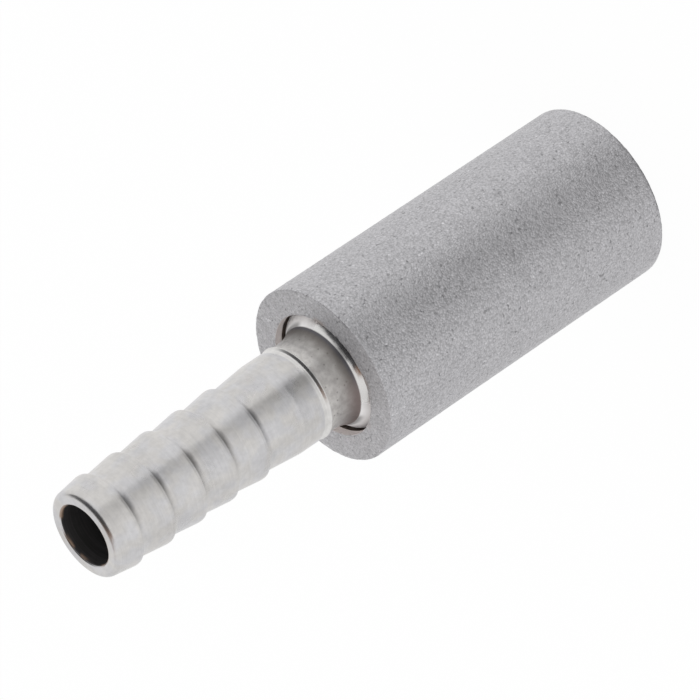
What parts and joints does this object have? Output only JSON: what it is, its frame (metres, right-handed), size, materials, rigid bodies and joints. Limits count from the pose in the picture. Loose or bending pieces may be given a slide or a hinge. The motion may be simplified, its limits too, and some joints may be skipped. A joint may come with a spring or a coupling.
{
  "type": "carbonation stone",
  "caption": "Porous sintered metal stone with a turned stainless hose barb, for diffusing carbon dioxide gas into a liquid.",
  "frame": {"origin": "centre of the stone's closed end face, which the object stands on", "axes": "+Z along the common axis, from the closed end up to the tip of the hose barb"},
  "size_m": [0.0126, 0.0126, 0.0463],
  "materials": {
    "sintered_metal": "matt sintered powder, open grained and pale grey",
    "turned_steel": "satin turned stainless steel with fine lathe marks, a dull neck and a polished lip at its foot"
  },
  "bodies": {
    "root": {"porous_stone": "sintered_metal", "barb_stem": "turned_steel"}
  },
  "joints": []
}
